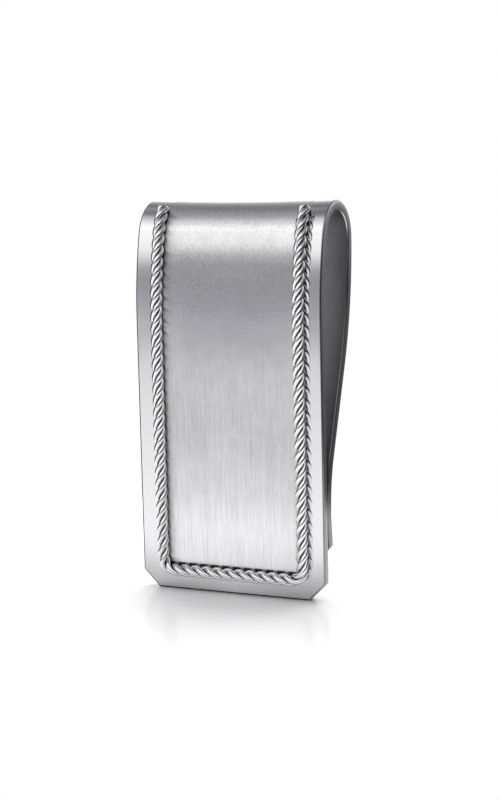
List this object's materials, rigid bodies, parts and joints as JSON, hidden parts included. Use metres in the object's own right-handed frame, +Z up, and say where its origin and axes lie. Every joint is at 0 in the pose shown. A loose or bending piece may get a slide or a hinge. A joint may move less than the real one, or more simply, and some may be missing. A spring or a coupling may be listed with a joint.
{
  "type": "money clip",
  "caption": "Folded-strip money clip: satin front panel framed by a twisted rope border, rounded loop at the top, sprung rear arm that pinches notes against the front.",
  "frame": {"origin": "bottom centre of the bounding box, with the clip standing on the bottom edge of its front", "axes": "+Z up from the open end to the loop, -Y out of the engraved front, +X to the viewer's right when looking at the front"},
  "size_m": [0.0254, 0.0124, 0.0496],
  "materials": {
    "strip": "vertical satin brushing on the front panel, polished elsewhere",
    "rope": "polished",
    "solder": "dull"
  },
  "bodies": {
    "front": {"front_plate": "strip", "rope_strand_1": "rope", "rope_strand_2": "rope", "rope_strand_3": "rope", "rope_solder": "solder"},
    "arm": {"spring_arm": "strip"}
  },
  "joints": [
    {"name": "arm_flex", "type": "hinge", "parent": "front", "child": "arm", "pos_m": [0, 0.0014, 0.0496], "axis": [1, 0, 0], "range_deg": [0, 6], "stiffness_Nm_per_rad": 3, "springref_deg": -2.01}
  ]
}
